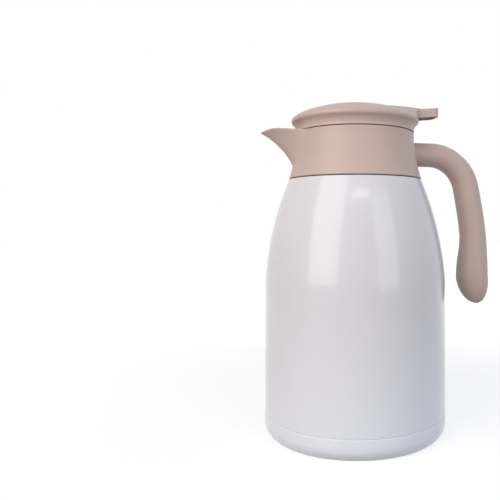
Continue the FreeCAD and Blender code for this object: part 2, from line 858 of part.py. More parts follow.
def make_stopper():
    """Cup-shaped plug that screws into the neck ring, with the valve port in its floor."""
    groove = stopper_radius - jug.seal_groove
    seal_top = jug.seal_bottom + jug.seal_height
    ledge_radius = chamber_radius + jug.guide_seat
    cup = turned("stopper_cup", [
        (jug.valve_port, jug.stopper_floor),
        (stopper_radius, jug.stopper_floor),
        (stopper_radius, jug.seal_bottom - jug.seal_gap),
        (groove, jug.seal_bottom - jug.seal_gap),
        (groove, seal_top + jug.seal_gap),
        (stopper_radius, seal_top + jug.seal_gap),
        (stopper_radius, web_top + jug.run_gap),
        (stopper_upper_radius, web_top + jug.run_gap),
        (stopper_upper_radius, flange_bottom),
        (bore_radius - jug.lug_gap, flange_bottom),
        (bore_radius - jug.lug_gap, flange_top),
        (ledge_radius, flange_top),
        (ledge_radius, jug.guide_ledge),
        (chamber_radius, jug.guide_ledge),
        (chamber_radius, floor_top),
        (jug.valve_port, floor_top),
    ])
    lug_height = jug.lug_height - jug.lug_thickness - jug.lug_gap
    lug_root = stopper_upper_radius - jug.lug_gap
    plug_lugs = lugs("stopper_lugs", lug_root, thread_radius - jug.run_gap, lug_height)
    window = block("pour_window", (-bore_radius, -chamber_radius + jug.window_half_width / 2),
                   (-jug.pour_half_width, jug.pour_half_width),
                   (web_top + jug.run_gap, jug.guide_ledge - jug.lug_gap))
    holes = [rod(f"flange_hole_{number}", jug.cover_screw_radius + jug.fit_gap,
                 (x, y, flange_bottom - CLEAR), jug.flange_thickness + CLEAR * 2)
             for number, (x, y) in enumerate(cover_screw_places())]
    return less("stopper", joined("stopper_body", [cup, plug_lugs]), [window] + holes)


def make_stopper_seal():
    """Silicone ring in the stopper's groove that closes the neck ring's seat."""
    inner = stopper_radius - jug.seal_groove + jug.seal_gap / 2
    outer = seat_radius - jug.seal_gap
    top = jug.seal_bottom + jug.seal_height
    lip = jug.seal_height / 4
    return turned("stopper_seal", [
        (inner, jug.seal_bottom),
        (outer - lip, jug.seal_bottom),
        (outer, jug.seal_bottom + lip),
        (outer, top - lip),
        (outer - lip, top),
        (inner, top),
    ])


def cover_screw_places():
    """Where the three cover screws stand: left, front and right of the axis."""
    reach = (stopper_upper_radius + bore_radius) / 2
    return [(ZERO, reach), (-reach, ZERO), (ZERO, -reach)]


slot_half_width = jug.tab_half_width + jug.run_gap
cheek_half_width = slot_half_width + jug.cheek_thickness
cheek_bottom = jug.guide_ledge + jug.guide_thickness + jug.seal_gap
dome_rise = jug.dome_top - jug.dome_edge
dome_bend = cap_bend(jug.dome_edge_radius, dome_rise)


def dome_height(reach, across):
    """The height of the cover's outer dome at a place beside the axis, level beyond the rim."""
    bend = dome_bend.value
    out = min(math.hypot(reach, across), jug.dome_edge_radius.value)
    past = max(math.hypot(reach, across) - jug.dome_edge_radius.value, 0.0)
    slope = (jug.dome_edge.value - jug.rim_high.value) / (jug.rim_radius.value - jug.dome_edge_radius.value)
    cap = jug.dome_top.value - bend + math.sqrt(bend ** 2 - out ** 2)
    return max(cap - past * slope, jug.rim_high.value)


def fairing_section(reach, half_width, top):
    """One upright section of the fairing: a level top whose sides sink to the dome in an S of two arcs."""
    bottom = jug.rim_low.value + CLEAR.value
    spread = half_width + jug.fairing_spread.value
    foot = dome_height(reach, spread) - jug.fairing_root.value
    steep = (jug.fairing_spread.value ** 2 + (top - foot) ** 2) / (4 * (top - foot))
    edges = []
    for side in (-1, 1):
        edge_top = Vector(reach, half_width * side, top)
        edge_foot = Vector(reach, spread * side, foot)
        middle = (edge_top + edge_foot) / 2
        turn = math.asin(jug.fairing_spread.value / 2 / steep) / 2
        aside = steep * math.sin(turn)
        sink = steep * (1 - math.cos(turn))
        over = Vector(reach, side * (half_width + aside), top - sink)
        under = Vector(reach, side * (spread - aside), foot + sink)
        edges.append([
            Part.Arc(edge_top, over, middle).toShape(),
            Part.Arc(middle, under, edge_foot).toShape(),
            Part.LineSegment(edge_foot, Vector(reach, spread * side, bottom)).toShape(),
        ])
    lid = Part.LineSegment(Vector(reach, -half_width, top), Vector(reach, half_width, top)).toShape()
    sole = Part.LineSegment(Vector(reach, -spread, bottom), Vector(reach, spread, bottom)).toShape()
    return Part.Wire(Part.__sortEdges__([lid, sole] + edges[0] + edges[1]))


def fairing_form():
    """The raised rear of the cover, level with the thumb tab and trimmed to the rim."""
    start = jug.fairing_start.value
    rear = jug.rim_radius.value
    sections = []
    for share in FAIRING_SHARES:
        reach = start + (rear - start) * share
        spread = min(1.0, share / FAIRING_FULL)
        half_width = jug.tab_wall.value + (jug.fairing_half_width.value - jug.tab_wall.value) * spread
        top = jug.dome_top.value + (jug.fairing_end.value - jug.dome_top.value) * share ** 2
        sections.append(fairing_section(reach, half_width, top))
    hump = Part.makeLoft(sections, True, False)
    rim = Part.makeCylinder(rear - jug.fairing_inset.value, jug.dome_top.value)
    return hump.common(rim)


def make_lid_cover():
    """Domed beige cover with a raised fairing at its rear, where the thumb lever lies in a slot."""
    wall = jug.cover_wall
    cavity_low = jug.collar_top_radius - wall
    inner_edge = jug.dome_edge_radius - wall / 2
    envelope = turned("cover_envelope", [
        (ZERO, cover_bottom),
        (jug.collar_top_radius, cover_bottom),
        (jug.collar_top_radius, jug.cove_start, jug.cove_bend),
        (jug.rim_radius, jug.rim_low, -jug.rim_bend),
        (jug.rim_radius, jug.rim_high, -jug.dome_edge_bend),
        (jug.dome_edge_radius, jug.dome_edge, -dome_bend),
        (ZERO, jug.dome_top),
    ])
    cavity = turned("cover_cavity", [
        (ZERO, cover_bottom - CLEAR),
        (cavity_low, cover_bottom - CLEAR),
        (cavity_low, jug.cove_start + wall),
        (jug.rim_radius - wall * 1.5, jug.rim_low + jug.lid_gap),
        (inner_edge, jug.dome_edge - wall, -cap_bend(inner_edge, dome_rise)),
        (ZERO, jug.dome_top - wall),
    ])
    fairing = formed("cover_fairing", fairing_form())
    skin = less("cover_skin", joined("cover_blank", [envelope, fairing]), [cavity])
    ribs = shared("cover_ribs", [envelope, slab("cover_rib_slab", "XZ_Plane", [
        (jug.pivot_place / 4, cheek_bottom),
        (chamber_radius - jug.stopper_wall, cheek_bottom),
        (chamber_radius - jug.stopper_wall, flange_top + jug.seal_gap),
        (cavity_low, flange_top + jug.seal_gap),
        (cavity_low, jug.dome_top),
        (jug.pivot_place / 4, jug.dome_top),
    ], cheek_half_width * 2)])
    posts = [rod(f"cover_post_{number}", jug.boss_radius, (x, y, flange_top), jug.dome_top - flange_top)
             for number, (x, y) in enumerate(cover_screw_places())]
    bosses = [shared(f"cover_boss_{number}", [envelope, post]) for number, post in enumerate(posts)]
    body = joined("cover_body", [skin, ribs] + bosses)
    slot = block("lever_slot", (jug.tab_front - jug.run_gap, jug.rim_radius + CLEAR * 4),
                 (-slot_half_width, slot_half_width), (jug.rim_high - jug.slot_sill, jug.dome_top + CLEAR * 4))
    pocket_bar = block("arm_pocket_bar", (-jug.disc_radius, cavity_low - CLEAR / 2),
                       (-slot_half_width, slot_half_width), (cheek_bottom - CLEAR, jug.dome_top))
    pocket = shared("arm_pocket", [cavity, pocket_bar])
    pin_hole = rod("cover_pin_hole", jug.pin_radius, (jug.pivot_place, -cheek_half_width, jug.pivot_height),
                   cheek_half_width * 2, ALONG_Y)
    pilot_depth = jug.cover_screw_length + CLEAR + jug.fit_gap
    pilots = [rod(f"cover_pilot_{number}", jug.cover_screw_radius + jug.pin_gap,
                  (x, y, flange_top - CLEAR), pilot_depth)
              for number, (x, y) in enumerate(cover_screw_places())]
    return less("lid_cover", body, [slot, pocket, pin_hole] + pilots)


def make_cover_screws():
    """Three screws that hold the cover on the stopper's flange."""
    screws = []
    for number, (x, y) in enumerate(cover_screw_places()):
        head = rod(f"cover_screw_head_{number}", jug.cover_screw_head,
                   (x, y, flange_bottom - jug.cover_screw_head_height), jug.cover_screw_head_height)
        shank = rod(f"cover_screw_shank_{number}", jug.cover_screw_radius, (x, y, flange_bottom - CLEAR),
                    jug.cover_screw_length + jug.flange_thickness + CLEAR)
        screws.append(joined(f"cover_screw_{number}", [head, shank]))
    return group("cover_screws", screws)


def make_thumb_lever():
    """Hollow thumb tab on a hub, with a fork that lifts the valve stem."""
    front_height = jug.dome_top - jug.run_gap
    skirt = jug.pivot_height + jug.hub_radius / 2
    plank = slab("lever_plank", "XZ_Plane", [
        (jug.tab_front, skirt),
        (jug.tab_dip_place, skirt),
        (jug.tab_end, jug.tab_end_height - jug.tab_skirt),
        (jug.tab_end, jug.tab_end_height, dome_bend),
        (jug.tab_dip_place, jug.tab_dip),
        (jug.tab_front, front_height),
    ], jug.tab_half_width * 2)
    square_end = jug.tab_end - jug.tab_corner
    square_side = jug.tab_half_width - jug.tab_corner
    plan = slab("lever_plan", "XY_Plane", [
        (jug.tab_front, -jug.tab_half_width),
        (square_end, -jug.tab_half_width, -jug.tab_corner),
        (jug.tab_end, -square_side),
        (jug.tab_end, square_side, -jug.tab_corner),
        (square_end, jug.tab_half_width),
        (jug.tab_front, jug.tab_half_width),
    ], jug.dome_top * 4)
    blank = shared("lever_blank", [plank, plan])
    inner_half = jug.tab_half_width - jug.tab_wall
    hollow = slab("lever_hollow", "XZ_Plane", [
        (jug.pivot_place + jug.hub_radius + jug.tab_wall, skirt - CLEAR),
        (jug.tab_end - jug.tab_wall, skirt - CLEAR),
        (jug.tab_end - jug.tab_wall, jug.tab_end_height - jug.tab_wall),
        (jug.tab_dip_place, jug.tab_dip - jug.tab_wall),
        (jug.pivot_place + jug.hub_radius + jug.tab_wall, jug.tab_dip - jug.tab_wall),
    ], inner_half * 2)
    hub = rod("lever_hub", jug.hub_radius, (jug.pivot_place, -jug.tab_half_width, jug.pivot_height),
              jug.tab_half_width * 2, ALONG_Y)
    arms = []
    arm_inner = jug.stem_radius + jug.lid_gap
    half_height = jug.arm_height / 2
    for side in (-1, 1):
        edges = [arm_inner * side, (arm_inner + jug.arm_thickness) * side]
        edges.sort(key=lambda size: size.value)
        arms.append(block(f"lever_arm_{side}", (-jug.arm_overhang, jug.pivot_place), edges,
                          (jug.pivot_height - half_height, jug.pivot_height + half_height)))
    pin_hole = rod("lever_pin_hole", jug.pin_radius + jug.pin_gap,
                   (jug.pivot_place, -jug.tab_half_width - CLEAR, jug.pivot_height),
                   (jug.tab_half_width + CLEAR) * 2, ALONG_Y)
    play = jug.link_radius + jug.link_gap
    link_slot = block("lever_link_slot", (-play - jug.link_run, play + jug.link_run),
                      (-jug.tab_half_width, jug.tab_half_width),
                      (jug.pivot_height - play, jug.pivot_height + play))
    tab = less("lever_tab", blank, [hollow])
    return less("thumb_lever", joined("lever_body", [tab, hub] + arms), [pin_hole, link_slot])


def make_lever_pin():
    """Steel pin through the cover's cheeks, on which the lever turns."""
    reach = cheek_half_width - jug.fit_gap
    return rod("lever_pin", jug.pin_radius, (jug.pivot_place, -reach, jug.pivot_height), reach * 2, ALONG_Y)


def make_valve_guide():
    """Spider clamped in the stopper's mouth, whose hub guides the stem and backs the spring."""
    outer = chamber_radius + jug.guide_seat - jug.fit_gap * 2
    top = jug.guide_ledge + jug.guide_thickness
    bore = jug.stem_radius + jug.seal_gap
    rim = turned("guide_rim", [
        (outer - jug.guide_ring_width, jug.guide_ledge),
        (outer, jug.guide_ledge),
        (outer, top),
        (outer - jug.guide_ring_width, top),
    ])
    hub = turned("guide_hub", [
        (bore, jug.guide_hub_bottom),
        (jug.guide_hub_radius, jug.guide_hub_bottom),
        (jug.guide_hub_radius, top),
        (bore, top),
    ])
    arms = []
    for number in range(GUIDE_ARMS):
        arm = doc.addObject("Part::Box", f"guide_arm_{number}")
        bind(arm, "Length", outer - jug.guide_ring_width - jug.guide_hub_radius + CLEAR * 2)
        bind(arm, "Width", jug.guide_arm_width)
        bind(arm, "Height", jug.guide_thickness)
        turn = Rotation(UP, FIRST_ARM + 360 / GUIDE_ARMS * number)
        corner = Vector((jug.guide_hub_radius - CLEAR).value, -jug.guide_arm_width.value / 2, 0)
        arm.Placement = Placement(turn.multVec(corner) + UP * jug.guide_ledge.value, turn)
        arms.append(arm)
    return joined("valve_guide", [rim, hub] + arms)


disc_bottom = floor_top + jug.valve_gap + jug.valve_seal_height
disc_top = disc_bottom + jug.disc_thickness


def make_valve_stem():
    """Valve disc and the stem that the lever lifts, with a cross hole for the link pin."""
    plunger = turned("valve_plunger", [
        (ZERO, disc_bottom),
        (jug.disc_radius, disc_bottom),
        (jug.disc_radius, disc_top),
        (jug.stem_radius, disc_top),
        (jug.stem_radius, jug.stem_top),
        (ZERO, jug.stem_top),
    ])
    hole = rod("stem_hole", jug.link_radius, (ZERO, -jug.stem_radius - CLEAR, jug.pivot_height),
               (jug.stem_radius + CLEAR) * 2, ALONG_Y)
    return less("valve_stem", plunger, [hole])


def make_valve_seal():
    """Silicone ring under the valve disc that closes the port in the stopper's floor."""
    outer = jug.disc_radius - CLEAR / 2
    inner = outer - jug.valve_seal_width
    return turned("valve_seal", [
        (inner, floor_top + jug.valve_gap),
        (outer, floor_top + jug.valve_gap),
        (outer, disc_bottom),
        (inner, disc_bottom),
    ])


def make_link_pin():
    """Pin through the stem's head, in the slots of the lever's fork."""
    reach = jug.stem_radius + jug.lid_gap + jug.arm_thickness
    return rod("link_pin", jug.link_radius, (ZERO, -reach, jug.pivot_height), reach * 2, ALONG_Y)


def make_valve_spring():
    """Compression spring round the stem, one unbroken wire of quarter-turn arcs."""
    wire = jug.spring_wire.value
    radius = jug.spring_radius.value
    low = disc_top.value + wire / 2 + jug.pin_gap.value
    high = jug.guide_hub_bottom.value - wire / 2 - jug.pin_gap.value
    turns = int(jug.spring_turns.value)
    eighths = turns * 8
    pitch = (high - low) / turns

    def point(step):
        angle = math.pi / 4 * step
        return Vector(radius * math.cos(angle), radius * math.sin(angle), low + pitch * step / 8)

    path = Part.Wire([Part.Arc(point(step), point(step + 1), point(step + 2)).toShape()
                      for step in range(0, eighths, 2)])
    slope = pitch / (2 * math.pi * radius)
    start = Part.Circle(point(0), Vector(0, 1, slope), wire / 2).toShape()
    tube = path.makePipeShell([Part.Wire([start])], True, False)
    spots = [point(step * 8 / SPOTS_PER_TURN) for step in range(turns * SPOTS_PER_TURN + 1)]
    gaps = [(spots[first] - spots[second]).Length - wire
            for first in range(len(spots)) for second in range(first + SPOTS_PER_TURN * 3 // 4, len(spots))]
    print(f"valve_spring: least gap between turns {min(gaps):.2f} mm")
    return formed("valve_spring", tube)


MAKERS = [
    make_outer_shell, make_inner_flask, make_closing_plate, make_seal_bead, make_getter,
    make_radiation_foil, make_base_cup, make_collar, make_neck_ring, make_neck_gasket, make_handle,
    make_handle_screws, make_stopper, make_stopper_seal, make_lid_cover, make_cover_screws,
    make_thumb_lever, make_lever_pin, make_valve_guide, make_valve_stem, make_valve_seal,
    make_link_pin, make_valve_spring,
]
pieces = [maker() for maker in MAKERS]
doc.recompute()

failed = [thing.Label for thing in doc.Objects if "Invalid" in thing.State or "Error" in thing.State]
if failed:
    raise RuntimeError(f"objects that did not build: {failed}")
SOLIDS_IN_GROUP = {"handle_screws": 2, "cover_screws": 3}
for piece in pieces:
    shape = piece.Shape
    expected = SOLIDS_IN_GROUP.get(piece.Label, 1)
    if shape.isNull() or not shape.isValid() or len(shape.Solids) != expected:
        raise RuntimeError(f"{piece.Label}: {len(shape.Solids)} solids, expected {expected}, or not valid")

os.makedirs("parts", exist_ok=True)
for piece in pieces:
    piece.Shape.exportStep(f"parts/{piece.Label}.step")
    print(f"{piece.Label}: {piece.Shape.Volume / 1000:.2f} cm3")
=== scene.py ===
import math

import bpy
import numpy as np
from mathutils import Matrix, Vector


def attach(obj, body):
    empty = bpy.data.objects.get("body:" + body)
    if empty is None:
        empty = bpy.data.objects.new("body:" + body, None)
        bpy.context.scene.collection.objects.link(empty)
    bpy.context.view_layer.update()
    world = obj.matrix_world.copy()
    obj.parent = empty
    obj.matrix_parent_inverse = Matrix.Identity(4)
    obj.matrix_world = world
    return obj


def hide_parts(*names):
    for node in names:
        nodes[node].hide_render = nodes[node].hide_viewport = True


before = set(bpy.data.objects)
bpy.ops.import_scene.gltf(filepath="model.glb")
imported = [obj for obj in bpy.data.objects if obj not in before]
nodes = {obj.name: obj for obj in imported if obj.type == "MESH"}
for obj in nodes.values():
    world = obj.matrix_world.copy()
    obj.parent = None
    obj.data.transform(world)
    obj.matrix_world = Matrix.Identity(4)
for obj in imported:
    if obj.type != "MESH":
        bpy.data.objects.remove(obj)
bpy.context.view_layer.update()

# Floor and room. The jug stands on a seamless white floor under one large soft window on its left, weaker
# ones on its right and behind it and a small one in front above, in a pale room.
floor_half = 4.0
floor_mesh = bpy.data.meshes.new("floor")
floor_mesh.from_pydata([(-floor_half, -floor_half, 0), (floor_half, -floor_half, 0),
                        (floor_half, floor_half, 0), (-floor_half, floor_half, 0)], [], [(0, 1, 2, 3)])
floor = bpy.data.objects.new("floor", floor_mesh)
bpy.context.scene.collection.objects.link(floor)


def new_material(name):
    """An empty node material: its tree, its output and a Principled shader already joined."""
    material = bpy.data.materials.new(name)
    material.use_nodes = True
    tree = material.node_tree
    tree.nodes.clear()
    output = tree.nodes.new("ShaderNodeOutputMaterial")
    shader = tree.nodes.new("ShaderNodeBsdfPrincipled")
    tree.links.new(shader.outputs["BSDF"], output.inputs["Surface"])
    return material, tree, shader, output


def seen_as_background(tree):
    """A mask that is 1 where a surface is looked at, mirrored or seen through, and 0 where it lights."""
    rays = tree.nodes.new("ShaderNodeLightPath")
    mask = rays.outputs["Is Camera Ray"]
    for name in ("Is Glossy Ray", "Is Transmission Ray"):
        either = tree.nodes.new("ShaderNodeMath")
        either.operation = "MAXIMUM"
        tree.links.new(mask, either.inputs[0])
        tree.links.new(rays.outputs[name], either.inputs[1])
        mask = either.outputs["Value"]
    return mask


floor_paper, tree, shader, output = new_material("floor_paper")
shader.inputs["Base Color"].default_value = (0.36, 0.36, 0.36, 1)
shader.inputs["Roughness"].default_value = 0.9
shader.inputs["Specular IOR Level"].default_value = 0.0
glow = tree.nodes.new("ShaderNodeEmission")
spot = tree.nodes.new("ShaderNodeTexCoord")
distance = tree.nodes.new("ShaderNodeVectorMath")
distance.operation = "LENGTH"
tree.links.new(spot.outputs["Object"], distance.inputs[0])
fade_out = tree.nodes.new("ShaderNodeMapRange")
fade_out.interpolation_type = "SMOOTHSTEP"
fade_out.inputs["From Min"].default_value = 0.1
fade_out.inputs["From Max"].default_value = 0.8
fade_out.inputs["To Min"].default_value = 0.74
fade_out.inputs["To Max"].default_value = 1.0
tree.links.new(distance.outputs["Value"], fade_out.inputs["Value"])
tree.links.new(fade_out.outputs["Result"], glow.inputs["Strength"])
both = tree.nodes.new("ShaderNodeAddShader")
tree.links.new(shader.outputs["BSDF"], both.inputs[0])
tree.links.new(glow.outputs["Emission"], both.inputs[1])
pick = tree.nodes.new("ShaderNodeMixShader")
tree.links.new(seen_as_background(tree), pick.inputs["Fac"])
tree.links.new(shader.outputs["BSDF"], pick.inputs[1])
tree.links.new(both.outputs["Shader"], pick.inputs[2])
tree.links.new(pick.outputs["Shader"], output.inputs["Surface"])
floor_mesh.materials.append(floor_paper)

world = bpy.data.worlds.new("pale_room")
bpy.context.scene.world = world
world.use_nodes = True
tree = world.node_tree
tree.nodes.clear()
output = tree.nodes.new("ShaderNodeOutputWorld")
fill = tree.nodes.new("ShaderNodeBackground")
fill.inputs["Color"].default_value = (0.89, 0.92, 1.0, 1)
fill.inputs["Strength"].default_value = 0.27
white = tree.nodes.new("ShaderNodeBackground")
white.inputs["Color"].default_value = (1, 1, 1, 1)
white.inputs["Strength"].default_value = 1.0
pick = tree.nodes.new("ShaderNodeMixShader")
tree.links.new(seen_as_background(tree), pick.inputs["Fac"])
tree.links.new(fill.outputs["Background"], pick.inputs[1])
tree.links.new(white.outputs["Background"], pick.inputs[2])
tree.links.new(pick.outputs["Shader"], output.inputs["Surface"])


def soft_window(name, place, aim, size, watts, tint):
    """A rectangular soft light at a place, turned to face a point."""
    data = bpy.data.lights.new(name, "AREA")
    data.shape = "RECTANGLE"
    data.size, data.size_y = size
    data.energy = watts
    data.color = tint
    lamp = bpy.data.objects.new(name, data)
    bpy.context.scene.collection.objects.link(lamp)
    lamp.location = place
    lamp.rotation_euler = (Vector(aim) - Vector(place)).to_track_quat("-Z", "Y").to_euler()
    return lamp


soft_window("left_window", place=(-0.82, -0.60, 0.66), aim=(0, 0, 0.15), size=(0.8, 1.2), watts=9.6,
            tint=(1.0, 0.955, 0.91))
soft_window("top_window", place=(-0.06, -0.70, 0.745), aim=(0, 0, 0.18), size=(0.4, 0.05), watts=0.45,
            tint=(0.85, 0.93, 1.0))
soft_window("right_window", place=(0.46, -0.92, 0.45), aim=(0, 0, 0.13), size=(0.5, 0.9), watts=2.9,
            tint=(0.8, 0.86, 1.0))
rear_window = soft_window("rear_window", place=(0.97, 0.2, 0.5), aim=(0.05, 0, 0.15), size=(0.8, 0.8),
                          watts=2.4, tint=(0.84, 0.89, 1.0))
rear_window.visible_glossy = False

# Camera. It looks level from above the middle of the body and a little to the spout's side; the shifts
# place the jug right of the middle without tilting its upright lines.
camera_data = bpy.data.cameras.new("camera")
camera_data.sensor_width = 36.0
camera_data.lens = 41.24
camera_data.shift_x = -0.18042
camera_data.shift_y = -0.04756
camera_data.clip_start = 0.01
camera = bpy.data.objects.new("camera", camera_data)
bpy.context.scene.collection.objects.link(camera)
camera.location = (-0.1072, -0.4154, 0.1505)
camera.rotation_euler = (math.radians(90), 0, math.radians(-13.0))
bpy.context.scene.camera = camera
bpy.context.scene.view_settings.view_transform = "Standard"

# Inner flask, closing plate, foil, getter and solder bead. Spun stainless steel, welded over the shell's
# neck and closed from below, with the foil wrapped inside the vacuum. Fine rings are left by the spinning.


def spun_rings_group():
    """Rings left by spinning: bands of noise in height and distance from the axis, as a mask."""
    group = bpy.data.node_groups.new("spun_rings", "ShaderNodeTree")
    group.interface.new_socket("Scale", in_out="INPUT", socket_type="NodeSocketFloat")
    group.interface.new_socket("Rings", in_out="OUTPUT", socket_type="NodeSocketFloat")
    inside = group.nodes.new("NodeGroupInput")
    outside = group.nodes.new("NodeGroupOutput")
    coordinates = group.nodes.new("ShaderNodeTexCoord")
    split = group.nodes.new("ShaderNodeSeparateXYZ")
    group.links.new(coordinates.outputs["Object"], split.inputs["Vector"])
    across = group.nodes.new("ShaderNodeCombineXYZ")
    group.links.new(split.outputs["X"], across.inputs["X"])
    group.links.new(split.outputs["Y"], across.inputs["Y"])
    reach = group.nodes.new("ShaderNodeVectorMath")
    reach.operation = "LENGTH"
    group.links.new(across.outputs["Vector"], reach.inputs[0])
    line = group.nodes.new("ShaderNodeMath")
    line.operation = "ADD"
    group.links.new(reach.outputs["Value"], line.inputs[0])
    group.links.new(split.outputs["Z"], line.inputs[1])
    bands = group.nodes.new("ShaderNodeTexNoise")
    bands.noise_dimensions = "1D"
    bands.inputs["Detail"].default_value = 3.0
    group.links.new(line.outputs["Value"], bands.inputs["W"])
    group.links.new(inside.outputs["Scale"], bands.inputs["Scale"])
    group.links.new(bands.outputs["Fac"], outside.inputs["Rings"])
    return group


spun_rings = spun_rings_group()
first_colour, second_colour, mixed_colour = 6, 7, 2


def bare_metal(name, dark, light, rough_low, rough_high, scale):
    """Bare metal whose colour and roughness follow the rings left by spinning."""
    material, tree, shader, _ = new_material(name)
    shader.inputs["Metallic"].default_value = 1.0
    rings = tree.nodes.new("ShaderNodeGroup")
    rings.node_tree = spun_rings
    rings.inputs["Scale"].default_value = scale
    tint = tree.nodes.new("ShaderNodeMix")
    tint.data_type = "RGBA"
    tint.inputs[first_colour].default_value = (*dark, 1)
    tint.inputs[second_colour].default_value = (*light, 1)
    tree.links.new(rings.outputs["Rings"], tint.inputs["Factor"])
    tree.links.new(tint.outputs[mixed_colour], shader.inputs["Base Color"])
    rough = tree.nodes.new("ShaderNodeMapRange")
    rough.inputs["To Min"].default_value = rough_low
    rough.inputs["To Max"].default_value = rough_high
    tree.links.new(rings.outputs["Rings"], rough.inputs["Value"])
    tree.links.new(rough.outputs["Result"], shader.inputs["Roughness"])
    bump = tree.nodes.new("ShaderNodeBump")
    bump.inputs["Strength"].default_value = 0.15
    bump.inputs["Distance"].default_value = 0.0002
    tree.links.new(rings.outputs["Rings"], bump.inputs["Height"])
    tree.links.new(bump.outputs["Normal"], shader.inputs["Normal"])
    return material


def dress(names, material):
    """Give CAD nodes one material in place of their own."""
    for name in names:
        nodes[name].data.materials.clear()
        nodes[name].data.materials.append(material)


dress(["inner_flask", "closing_plate"],
      bare_metal("spun_steel", dark=(0.46, 0.46, 0.47), light=(0.7, 0.7, 0.71),
                 rough_low=0.18, rough_high=0.36, scale=900.0))
dress(["radiation_foil"],
      bare_metal("bright_foil", dark=(0.8, 0.8, 0.81), light=(0.92, 0.92, 0.93),
                 rough_low=0.05, rough_high=0.2, scale=300.0))
dress(["getter"],
      bare_metal("sintered_getter", dark=(0.12, 0.12, 0.13), light=(0.3, 0.3, 0.31),
                 rough_low=0.6, rough_high=0.85, scale=4000.0))
dress(["seal_bead"],
      bare_metal("solder", dark=(0.4, 0.4, 0.4), light=(0.58, 0.58, 0.57),
                 rough_low=0.3, rough_high=0.5, scale=1500.0))

# Outer shell. Stainless steel, spun to one long shoulder arc, sprayed with gloss white enamel with a very
# slight orange-peel; painted shade and light make it darker and warmer above, paler and cooler below.


def rounded_outline(corners, radius, steps=5):
    """A closed outline with every corner cut by a small arc.

    Each corner is replaced by a quadratic curve from a point on one side to a point on the next, both
    one radius from the corner, or nearly half of the shorter side away where that is less.
    """
    corners = np.array(corners, float)
    before = np.roll(corners, 1, axis=0) - corners
    after = np.roll(corners, -1, axis=0) - corners
    long_before = np.linalg.norm(before, axis=1, keepdims=True)
    long_after = np.linalg.norm(after, axis=1, keepdims=True)
    largest_share = 0.45
    cut = np.minimum(radius, np.minimum(long_before, long_after) * largest_share)
    start = corners + before / long_before * cut
    finish = corners + after / long_after * cut
    share = np.linspace(0, 1, steps)[None, :, None]
    curve = ((1 - share) ** 2 * start[:, None] + 2 * share * (1 - share) * corners[:, None]
             + share ** 2 * finish[:, None])
    return curve.reshape(-1, 2)


def carried_round(outline, columns=192):
    """A closed outline of (distance from the axis, height) carried round the jug's axis."""
    angle = np.arange(columns) * 2 * math.pi / columns
    reach, height = outline[:, 0], outline[:, 1]
    grid = np.empty((columns, len(outline), 3))
    grid[..., 0] = np.cos(angle)[:, None] * reach
    grid[..., 1] = np.sin(angle)[:, None] * reach
    grid[..., 2] = height
    return grid


def grid_faces(rows, columns, wrap_rows, wrap_columns):
    """Quads between neighbouring points of a grid, closed along either way."""
    row = np.arange(rows if wrap_rows else rows - 1)[:, None]
    column = np.arange(columns if wrap_columns else columns - 1)[None, :]
    next_row, next_column = (row + 1) % rows, (column + 1) % columns
    quads = np.stack([row * columns + column, next_row * columns + column,
                      next_row * columns + next_column, row * columns + next_column], axis=-1)
    return quads.reshape(-1, 4)


def new_piece(name, points, faces, material, body, stands_for):
    """Make a smooth mesh piece of points in millimetres that rides on a body in place of its CAD node."""
    mesh = bpy.data.meshes.new(name)
    per_metre = 1000
    mesh.from_pydata((points.reshape(-1, 3) / per_metre).tolist(), [], [list(face) for face in faces])
    mesh.polygons.foreach_set("use_smooth", np.ones(len(mesh.polygons), bool))
    mesh.update()
    mesh.materials.append(material)
    piece = bpy.data.objects.new(name, mesh)
    bpy.context.scene.collection.objects.link(piece)
    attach(piece, body)
    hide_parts(*stands_for)


def fine_noise_group():
    """Noise on the piece's own coordinates at a coarse and a fine scale, each from 0 to 1."""
    group = bpy.data.node_groups.new("fine_noise", "ShaderNodeTree")
    for name in ("Coarse Scale", "Fine Scale"):
        group.interface.new_socket(name, in_out="INPUT", socket_type="NodeSocketFloat")
    for name in ("Coarse", "Fine"):
        group.interface.new_socket(name, in_out="OUTPUT", socket_type="NodeSocketFloat")
    inside = group.nodes.new("NodeGroupInput")
    outside = group.nodes.new("NodeGroupOutput")
    coordinates = group.nodes.new("ShaderNodeTexCoord")
    for name, detail in (("Coarse", 3.0), ("Fine", 2.0)):
        noise = group.nodes.new("ShaderNodeTexNoise")
        noise.inputs["Detail"].default_value = detail
        group.links.new(coordinates.outputs["Object"], noise.inputs["Vector"])
        group.links.new(inside.outputs[f"{name} Scale"], noise.inputs["Scale"])
        group.links.new(noise.outputs["Fac"], outside.inputs[name])
    return group


fine_noise = fine_noise_group()


